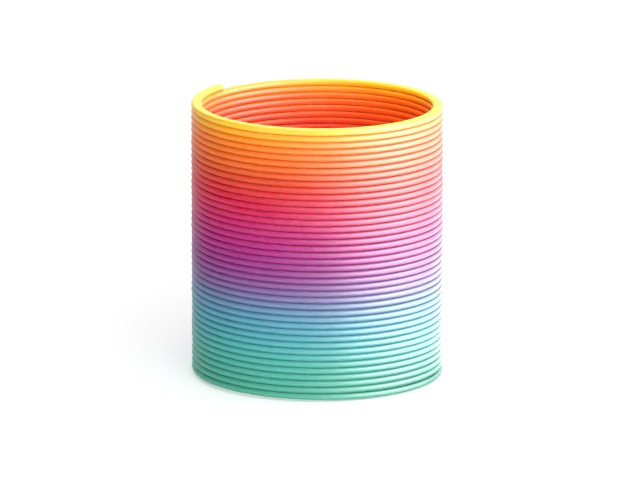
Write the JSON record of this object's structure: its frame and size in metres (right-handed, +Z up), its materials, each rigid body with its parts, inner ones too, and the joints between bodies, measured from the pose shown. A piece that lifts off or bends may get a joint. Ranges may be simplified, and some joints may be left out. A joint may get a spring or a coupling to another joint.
{
  "type": "spring coil toy",
  "caption": "Rainbow plastic coil spring toy, standing closed: one flat strip wound left-handed, which stretches and arches.",
  "frame": {"origin": "centre of the coil's axis on the surface that the bottom end lies on", "axes": "+Z up along the coil's axis; -Y is the front"},
  "size_m": [0.076, 0.076, 0.0845],
  "materials": {
    "green": "gloss",
    "aqua": "gloss",
    "blue": "gloss",
    "purple": "gloss",
    "magenta": "gloss",
    "red": "gloss",
    "orange": "gloss",
    "yellow": "gloss"
  },
  "bodies": {
    "turn_01": {"turn_01": "green"},
    "turn_02": {"turn_02": "green"},
    "turn_03": {"turn_03": "green"},
    "turn_04_lower": {"turn_04_lower": "green"},
    "turn_04_upper": {"turn_04_upper": "green"},
    "turn_05": {"turn_05": "green"},
    "turn_06_lower": {"turn_06_lower": "aqua"},
    "turn_06_upper": {"turn_06_upper": "aqua"},
    "turn_07": {"turn_07": "aqua"},
    "turn_08_lower": {"turn_08_lower": "aqua"},
    "turn_08_upper": {"turn_08_upper": "aqua"},
    "turn_09": {"turn_09": "aqua"},
    "turn_10_lower": {"turn_10_lower": "aqua"},
    "turn_10_upper": {"turn_10_upper": "aqua"},
    "turn_11": {"turn_11": "blue"},
    "turn_12_lower": {"turn_12_lower": "blue"},
    "turn_12_upper": {"turn_12_upper": "blue"},
    "turn_13": {"turn_13": "blue"},
    "turn_14_lower": {"turn_14_lower": "blue"},
    "turn_14_upper": {"turn_14_upper": "blue"},
    "turn_15": {"turn_15": "blue"},
    "turn_16_lower": {"turn_16_lower": "blue"},
    "turn_16_upper": {"turn_16_upper": "blue"},
    "turn_17": {"turn_17": "purple"},
    "turn_18_lower": {"turn_18_lower": "purple"},
    "turn_18_upper": {"turn_18_upper": "purple"},
    "turn_19": {"turn_19": "purple"},
    "turn_20_lower": {"turn_20_lower": "purple"},
    "turn_20_upper": {"turn_20_upper": "purple"},
    "turn_21": {"turn_21": "purple"},
    "turn_22_lower": {"turn_22_lower": "purple"},
    "turn_22_upper": {"turn_22_upper": "purple"},
    "turn_23": {"turn_23": "purple"},
    "turn_24_lower": {"turn_24_lower": "purple"},
    "turn_24_upper": {"turn_24_upper": "purple"},
    "turn_25": {"turn_25": "magenta"},
    "turn_26_lower": {"turn_26_lower": "magenta"},
    "turn_26_upper": {"turn_26_upper": "magenta"},
    "turn_27": {"turn_27": "magenta"},
    "turn_28_lower": {"turn_28_lower": "magenta"},
    "turn_28_upper": {"turn_28_upper": "magenta"},
    "turn_29": {"turn_29": "magenta"},
    "turn_30_lower": {"turn_30_lower": "magenta"},
    "turn_30_upper": {"turn_30_upper": "magenta"},
    "turn_31": {"turn_31": "red"},
    "turn_32_lower": {"turn_32_lower": "red"},
    "turn_32_upper": {"turn_32_upper": "red"},
    "turn_33": {"turn_33": "red"},
    "turn_34_lower": {"turn_34_lower": "red"},
    "turn_34_upper": {"turn_34_upper": "red"},
    "turn_35": {"turn_35": "orange"},
    "turn_36_lower": {"turn_36_lower": "orange"},
    "turn_36_upper": {"turn_36_upper": "orange"},
    "turn_37": {"turn_37": "orange"},
    "turn_38_lower": {"turn_38_lower": "orange"},
    "turn_38_upper": {"turn_38_upper": "orange"},
    "turn_39": {"turn_39": "orange"},
    "turn_40": {"turn_40": "orange"},
    "turn_41": {"turn_41": "yellow"},
    "turn_42": {"turn_42": "yellow"}
  },
  "joints": [
    {"name": "stretch", "type": "slide", "parent": "turn_01", "child": "turn_02", "axis": [0, 0, 1], "range_m": [0, 0.01], "stiffness_N_per_m": 30, "springref_m": 0.01712},
    {"name": "stretch_03", "type": "slide", "parent": "turn_02", "child": "turn_03", "axis": [0, 0, 1], "range_m": [0, 0.01], "stiffness_N_per_m": 30, "springref_m": 0.0167},
    {"name": "stretch_04", "type": "slide", "parent": "turn_03", "child": "turn_04_lower", "axis": [0, 0, 1], "range_m": [0, 0.01], "stiffness_N_per_m": 30, "springref_m": 0.01627},
    {"name": "bend", "type": "hinge", "parent": "turn_04_lower", "child": "turn_04_upper", "pos_m": [-0.038, 0, 0.00818], "axis": [0, -1, 0], "range_deg": [0, 10], "stiffness_Nm_per_rad": 0.02, "springref_deg": 52.48},
    {"name": "stretch_05", "type": "slide", "parent": "turn_04_upper", "child": "turn_05", "axis": [0, 0, 1], "range_m": [0, 0.01], "stiffness_N_per_m": 30, "springref_m": 0.01585},
    {"name": "stretch_06", "type": "slide", "parent": "turn_05", "child": "turn_06_lower", "axis": [0, 0, 1], "range_m": [0, 0.01], "stiffness_N_per_m": 30, "springref_m": 0.01543},
    {"name": "bend_06", "type": "hinge", "parent": "turn_06_lower", "child": "turn_06_upper", "pos_m": [-0.038, 0, 0.01214], "axis": [0, -1, 0], "range_deg": [0, 10], "stiffness_Nm_per_rad": 0.02, "springref_deg": 49.73},
    {"name": "stretch_07", "type": "slide", "parent": "turn_06_upper", "child": "turn_07", "axis": [0, 0, 1], "range_m": [0, 0.01], "stiffness_N_per_m": 30, "springref_m": 0.01501},
    {"name": "stretch_08", "type": "slide", "parent": "turn_07", "child": "turn_08_lower", "axis": [0, 0, 1], "range_m": [0, 0.01], "stiffness_N_per_m": 30, "springref_m": 0.01459},
    {"name": "bend_08", "type": "hinge", "parent": "turn_08_lower", "child": "turn_08_upper", "pos_m": [-0.038, 0, 0.0161], "axis": [0, -1, 0], "range_deg": [0, 10], "stiffness_Nm_per_rad": 0.02, "springref_deg": 46.93},
    {"name": "stretch_09", "type": "slide", "parent": "turn_08_upper", "child": "turn_09", "axis": [0, 0, 1], "range_m": [0, 0.01], "stiffness_N_per_m": 30, "springref_m": 0.01417},
    {"name": "stretch_10", "type": "slide", "parent": "turn_09", "child": "turn_10_lower", "axis": [0, 0, 1], "range_m": [0, 0.01], "stiffness_N_per_m": 30, "springref_m": 0.01374},
    {"name": "bend_10", "type": "hinge", "parent": "turn_10_lower", "child": "turn_10_upper", "pos_m": [-0.038, 0, 0.02006], "axis": [0, -1, 0], "range_deg": [0, 10], "stiffness_Nm_per_rad": 0.02, "springref_deg": 44.18},
    {"name": "stretch_11", "type": "slide", "parent": "turn_10_upper", "child": "turn_11", "axis": [0, 0, 1], "range_m": [0, 0.01], "stiffness_N_per_m": 30, "springref_m": 0.01332},
    {"name": "stretch_12", "type": "slide", "parent": "turn_11", "child": "turn_12_lower", "axis": [0, 0, 1], "range_m": [0, 0.01], "stiffness_N_per_m": 30, "springref_m": 0.0129},
    {"name": "bend_12", "type": "hinge", "parent": "turn_12_lower", "child": "turn_12_upper", "pos_m": [-0.038, 0, 0.02402], "axis": [0, -1, 0], "range_deg": [0, 10], "stiffness_Nm_per_rad": 0.02, "springref_deg": 41.42},
    {"name": "stretch_13", "type": "slide", "parent": "turn_12_upper", "child": "turn_13", "axis": [0, 0, 1], "range_m": [0, 0.01], "stiffness_N_per_m": 30, "springref_m": 0.01248},
    {"name": "stretch_14", "type": "slide", "parent": "turn_13", "child": "turn_14_lower", "axis": [0, 0, 1], "range_m": [0, 0.01], "stiffness_N_per_m": 30, "springref_m": 0.01206},
    {"name": "bend_14", "type": "hinge", "parent": "turn_14_lower", "child": "turn_14_upper", "pos_m": [-0.038, 0, 0.02798], "axis": [0, -1, 0], "range_deg": [0, 10], "stiffness_Nm_per_rad": 0.02, "springref_deg": 38.67},
    {"name": "stretch_15", "type": "slide", "parent": "turn_14_upper", "child": "turn_15", "axis": [0, 0, 1], "range_m": [0, 0.01], "stiffness_N_per_m": 30, "springref_m": 0.01164},
    {"name": "stretch_16", "type": "slide", "parent": "turn_15", "child": "turn_16_lower", "axis": [0, 0, 1], "range_m": [0, 0.01], "stiffness_N_per_m": 30, "springref_m": 0.01122},
    {"name": "bend_16", "type": "hinge", "parent": "turn_16_lower", "child": "turn_16_upper", "pos_m": [-0.038, 0, 0.03194], "axis": [0, -1, 0], "range_deg": [0, 10], "stiffness_Nm_per_rad": 0.02, "springref_deg": 35.92},
    {"name": "stretch_17", "type": "slide", "parent": "turn_16_upper", "child": "turn_17", "axis": [0, 0, 1], "range_m": [0, 0.01], "stiffness_N_per_m": 30, "springref_m": 0.01079},
    {"name": "stretch_18", "type": "slide", "parent": "turn_17", "child": "turn_18_lower", "axis": [0, 0, 1], "range_m": [0, 0.01], "stiffness_N_per_m": 30, "springref_m": 0.01037},
    {"name": "bend_18", "type": "hinge", "parent": "turn_18_lower", "child": "turn_18_upper", "pos_m": [-0.038, 0, 0.0359], "axis": [0, -1, 0], "range_deg": [0, 10], "stiffness_Nm_per_rad": 0.02, "springref_deg": 33.17},
    {"name": "stretch_19", "type": "slide", "parent": "turn_18_upper", "child": "turn_19", "axis": [0, 0, 1], "range_m": [0, 0.01], "stiffness_N_per_m": 30, "springref_m": 0.00995},
    {"name": "stretch_20", "type": "slide", "parent": "turn_19", "child": "turn_20_lower", "axis": [0, 0, 1], "range_m": [0, 0.01], "stiffness_N_per_m": 30, "springref_m": 0.00953},
    {"name": "bend_20", "type": "hinge", "parent": "turn_20_lower", "child": "turn_20_upper", "pos_m": [-0.038, 0, 0.03986], "axis": [0, -1, 0], "range_deg": [0, 10], "stiffness_Nm_per_rad": 0.02, "springref_deg": 30.42},
    {"name": "stretch_21", "type": "slide", "parent": "turn_20_upper", "child": "turn_21", "axis": [0, 0, 1], "range_m": [0, 0.01], "stiffness_N_per_m": 30, "springref_m": 0.00911},
    {"name": "stretch_22", "type": "slide", "parent": "turn_21", "child": "turn_22_lower", "axis": [0, 0, 1], "range_m": [0, 0.01], "stiffness_N_per_m": 30, "springref_m": 0.00869},
    {"name": "bend_22", "type": "hinge", "parent": "turn_22_lower", "child": "turn_22_upper", "pos_m": [-0.038, 0, 0.04382], "axis": [0, -1, 0], "range_deg": [0, 10], "stiffness_Nm_per_rad": 0.02, "springref_deg": 27.67},
    {"name": "stretch_23", "type": "slide", "parent": "turn_22_upper", "child": "turn_23", "axis": [0, 0, 1], "range_m": [0, 0.01], "stiffness_N_per_m": 30, "springref_m": 0.00826},
    {"name": "stretch_24", "type": "slide", "parent": "turn_23", "child": "turn_24_lower", "axis": [0, 0, 1], "range_m": [0, 0.01], "stiffness_N_per_m": 30, "springref_m": 0.00784},
    {"name": "bend_24", "type": "hinge", "parent": "turn_24_lower", "child": "turn_24_upper", "pos_m": [-0.038, 0, 0.04778], "axis": [0, -1, 0], "range_deg": [0, 10], "stiffness_Nm_per_rad": 0.02, "springref_deg": 24.92},
    {"name": "stretch_25", "type": "slide", "parent": "turn_24_upper", "child": "turn_25", "axis": [0, 0, 1], "range_m": [0, 0.01], "stiffness_N_per_m": 30, "springref_m": 0.00742},
    {"name": "stretch_26", "type": "slide", "parent": "turn_25", "child": "turn_26_lower", "axis": [0, 0, 1], "range_m": [0, 0.01], "stiffness_N_per_m": 30, "springref_m": 0.007},
    {"name": "bend_26", "type": "hinge", "parent": "turn_26_lower", "child": "turn_26_upper", "pos_m": [-0.038, 0, 0.05174], "axis": [0, -1, 0], "range_deg": [0, 10], "stiffness_Nm_per_rad": 0.02, "springref_deg": 22.17},
    {"name": "stretch_27", "type": "slide", "parent": "turn_26_upper", "child": "turn_27", "axis": [0, 0, 1], "range_m": [0, 0.01], "stiffness_N_per_m": 30, "springref_m": 0.00658},
    {"name": "stretch_28", "type": "slide", "parent": "turn_27", "child": "turn_28_lower", "axis": [0, 0, 1], "range_m": [0, 0.01], "stiffness_N_per_m": 30, "springref_m": 0.00616},
    {"name": "bend_28", "type": "hinge", "parent": "turn_28_lower", "child": "turn_28_upper", "pos_m": [-0.038, 0, 0.0557], "axis": [0, -1, 0], "range_deg": [0, 10], "stiffness_Nm_per_rad": 0.02, "springref_deg": 19.42},
    {"name": "stretch_29", "type": "slide", "parent": "turn_28_upper", "child": "turn_29", "axis": [0, 0, 1], "range_m": [0, 0.01], "stiffness_N_per_m": 30, "springref_m": 0.00573},
    {"name": "stretch_30", "type": "slide", "parent": "turn_29", "child": "turn_30_lower", "axis": [0, 0, 1], "range_m": [0, 0.01], "stiffness_N_per_m": 30, "springref_m": 0.00531},
    {"name": "bend_30", "type": "hinge", "parent": "turn_30_lower", "child": "turn_30_upper", "pos_m": [-0.038, 0, 0.05966], "axis": [0, -1, 0], "range_deg": [0, 10], "stiffness_Nm_per_rad": 0.02, "springref_deg": 16.67},
    {"name": "stretch_31", "type": "slide", "parent": "turn_30_upper", "child": "turn_31", "axis": [0, 0, 1], "range_m": [0, 0.01], "stiffness_N_per_m": 30, "springref_m": 0.00489},
    {"name": "stretch_32", "type": "slide", "parent": "turn_31", "child": "turn_32_lower", "axis": [0, 0, 1], "range_m": [0, 0.01], "stiffness_N_per_m": 30, "springref_m": 0.00447},
    {"name": "bend_32", "type": "hinge", "parent": "turn_32_lower", "child": "turn_32_upper", "pos_m": [-0.038, 0, 0.06362], "axis": [0, -1, 0], "range_deg": [0, 10], "stiffness_Nm_per_rad": 0.02, "springref_deg": 13.92},
    {"name": "stretch_33", "type": "slide", "parent": "turn_32_upper", "child": "turn_33", "axis": [0, 0, 1], "range_m": [0, 0.01], "stiffness_N_per_m": 30, "springref_m": 0.00405},
    {"name": "stretch_34", "type": "slide", "parent": "turn_33", "child": "turn_34_lower", "axis": [0, 0, 1], "range_m": [0, 0.01], "stiffness_N_per_m": 30, "springref_m": 0.00363},
    {"name": "bend_34", "type": "hinge", "parent": "turn_34_lower", "child": "turn_34_upper", "pos_m": [-0.038, 0, 0.06758], "axis": [0, -1, 0], "range_deg": [0, 10], "stiffness_Nm_per_rad": 0.02, "springref_deg": 11.17},
    {"name": "stretch_35", "type": "slide", "parent": "turn_34_upper", "child": "turn_35", "axis": [0, 0, 1], "range_m": [0, 0.01], "stiffness_N_per_m": 30, "springref_m": 0.0032},
    {"name": "stretch_36", "type": "slide", "parent": "turn_35", "child": "turn_36_lower", "axis": [0, 0, 1], "range_m": [0, 0.01], "stiffness_N_per_m": 30, "springref_m": 0.00278},
    {"name": "bend_36", "type": "hinge", "parent": "turn_36_lower", "child": "turn_36_upper", "pos_m": [-0.038, 0, 0.07154], "axis": [0, -1, 0], "range_deg": [0, 10], "stiffness_Nm_per_rad": 0.02, "springref_deg": 8.42},
    {"name": "stretch_37", "type": "slide", "parent": "turn_36_upper", "child": "turn_37", "axis": [0, 0, 1], "range_m": [0, 0.01], "stiffness_N_per_m": 30, "springref_m": 0.00236},
    {"name": "stretch_38", "type": "slide", "parent": "turn_37", "child": "turn_38_lower", "axis": [0, 0, 1], "range_m": [0, 0.01], "stiffness_N_per_m": 30, "springref_m": 0.00194},
    {"name": "bend_38", "type": "hinge", "parent": "turn_38_lower", "child": "turn_38_upper", "pos_m": [-0.038, 0, 0.0755], "axis": [0, -1, 0], "range_deg": [0, 10], "stiffness_Nm_per_rad": 0.02, "springref_deg": 5.67},
    {"name": "stretch_39", "type": "slide", "parent": "turn_38_upper", "child": "turn_39", "axis": [0, 0, 1], "range_m": [0, 0.01], "stiffness_N_per_m": 30, "springref_m": 0.00152},
    {"name": "stretch_40", "type": "slide", "parent": "turn_39", "child": "turn_40", "axis": [0, 0, 1], "range_m": [0, 0.01], "stiffness_N_per_m": 30, "springref_m": 0.0011},
    {"name": "stretch_41", "type": "slide", "parent": "turn_40", "child": "turn_41", "axis": [0, 0, 1], "range_m": [0, 0.01], "stiffness_N_per_m": 30, "springref_m": 0.00067},
    {"name": "stretch_42", "type": "slide", "parent": "turn_41", "child": "turn_42", "axis": [0, 0, 1], "range_m": [0, 0.01], "stiffness_N_per_m": 30, "springref_m": 0.00025}
  ],
  "couplings": [
    {"joint": "stretch_03", "follows": "stretch", "ratio": 1},
    {"joint": "stretch_04", "follows": "stretch", "ratio": 1},
    {"joint": "stretch_05", "follows": "stretch", "ratio": 1},
    {"joint": "stretch_06", "follows": "stretch", "ratio": 1},
    {"joint": "bend_06", "follows": "bend", "ratio": 1},
    {"joint": "stretch_07", "follows": "stretch", "ratio": 1},
    {"joint": "stretch_08", "follows": "stretch", "ratio": 1},
    {"joint": "bend_08", "follows": "bend", "ratio": 1},
    {"joint": "stretch_09", "follows": "stretch", "ratio": 1},
    {"joint": "stretch_10", "follows": "stretch", "ratio": 1},
    {"joint": "bend_10", "follows": "bend", "ratio": 1},
    {"joint": "stretch_11", "follows": "stretch", "ratio": 1},
    {"joint": "stretch_12", "follows": "stretch", "ratio": 1},
    {"joint": "bend_12", "follows": "bend", "ratio": 1},
    {"joint": "stretch_13", "follows": "stretch", "ratio": 1},
    {"joint": "stretch_14", "follows": "stretch", "ratio": 1},
    {"joint": "bend_14", "follows": "bend", "ratio": 1},
    {"joint": "stretch_15", "follows": "stretch", "ratio": 1},
    {"joint": "stretch_16", "follows": "stretch", "ratio": 1},
    {"joint": "bend_16", "follows": "bend", "ratio": 1},
    {"joint": "stretch_17", "follows": "stretch", "ratio": 1},
    {"joint": "stretch_18", "follows": "stretch", "ratio": 1},
    {"joint": "bend_18", "follows": "bend", "ratio": 1},
    {"joint": "stretch_19", "follows": "stretch", "ratio": 1},
    {"joint": "stretch_20", "follows": "stretch", "ratio": 1},
    {"joint": "bend_20", "follows": "bend", "ratio": 1},
    {"joint": "stretch_21", "follows": "stretch", "ratio": 1},
    {"joint": "stretch_22", "follows": "stretch", "ratio": 1},
    {"joint": "bend_22", "follows": "bend", "ratio": 1},
    {"joint": "stretch_23", "follows": "stretch", "ratio": 1},
    {"joint": "stretch_24", "follows": "stretch", "ratio": 1},
    {"joint": "bend_24", "follows": "bend", "ratio": 1},
    {"joint": "stretch_25", "follows": "stretch", "ratio": 1},
    {"joint": "stretch_26", "follows": "stretch", "ratio": 1},
    {"joint": "bend_26", "follows": "bend", "ratio": 1},
    {"joint": "stretch_27", "follows": "stretch", "ratio": 1},
    {"joint": "stretch_28", "follows": "stretch", "ratio": 1},
    {"joint": "bend_28", "follows": "bend", "ratio": 1},
    {"joint": "stretch_29", "follows": "stretch", "ratio": 1},
    {"joint": "stretch_30", "follows": "stretch", "ratio": 1},
    {"joint": "bend_30", "follows": "bend", "ratio": 1},
    {"joint": "stretch_31", "follows": "stretch", "ratio": 1},
    {"joint": "stretch_32", "follows": "stretch", "ratio": 1},
    {"joint": "bend_32", "follows": "bend", "ratio": 1},
    {"joint": "stretch_33", "follows": "stretch", "ratio": 1},
    {"joint": "stretch_34", "follows": "stretch", "ratio": 1},
    {"joint": "bend_34", "follows": "bend", "ratio": 1},
    {"joint": "stretch_35", "follows": "stretch", "ratio": 1},
    {"joint": "stretch_36", "follows": "stretch", "ratio": 1},
    {"joint": "bend_36", "follows": "bend", "ratio": 1},
    {"joint": "stretch_37", "follows": "stretch", "ratio": 1},
    {"joint": "stretch_38", "follows": "stretch", "ratio": 1},
    {"joint": "bend_38", "follows": "bend", "ratio": 1},
    {"joint": "stretch_39", "follows": "stretch", "ratio": 1},
    {"joint": "stretch_40", "follows": "stretch", "ratio": 1},
    {"joint": "stretch_41", "follows": "stretch", "ratio": 1},
    {"joint": "stretch_42", "follows": "stretch", "ratio": 1}
  ]
}
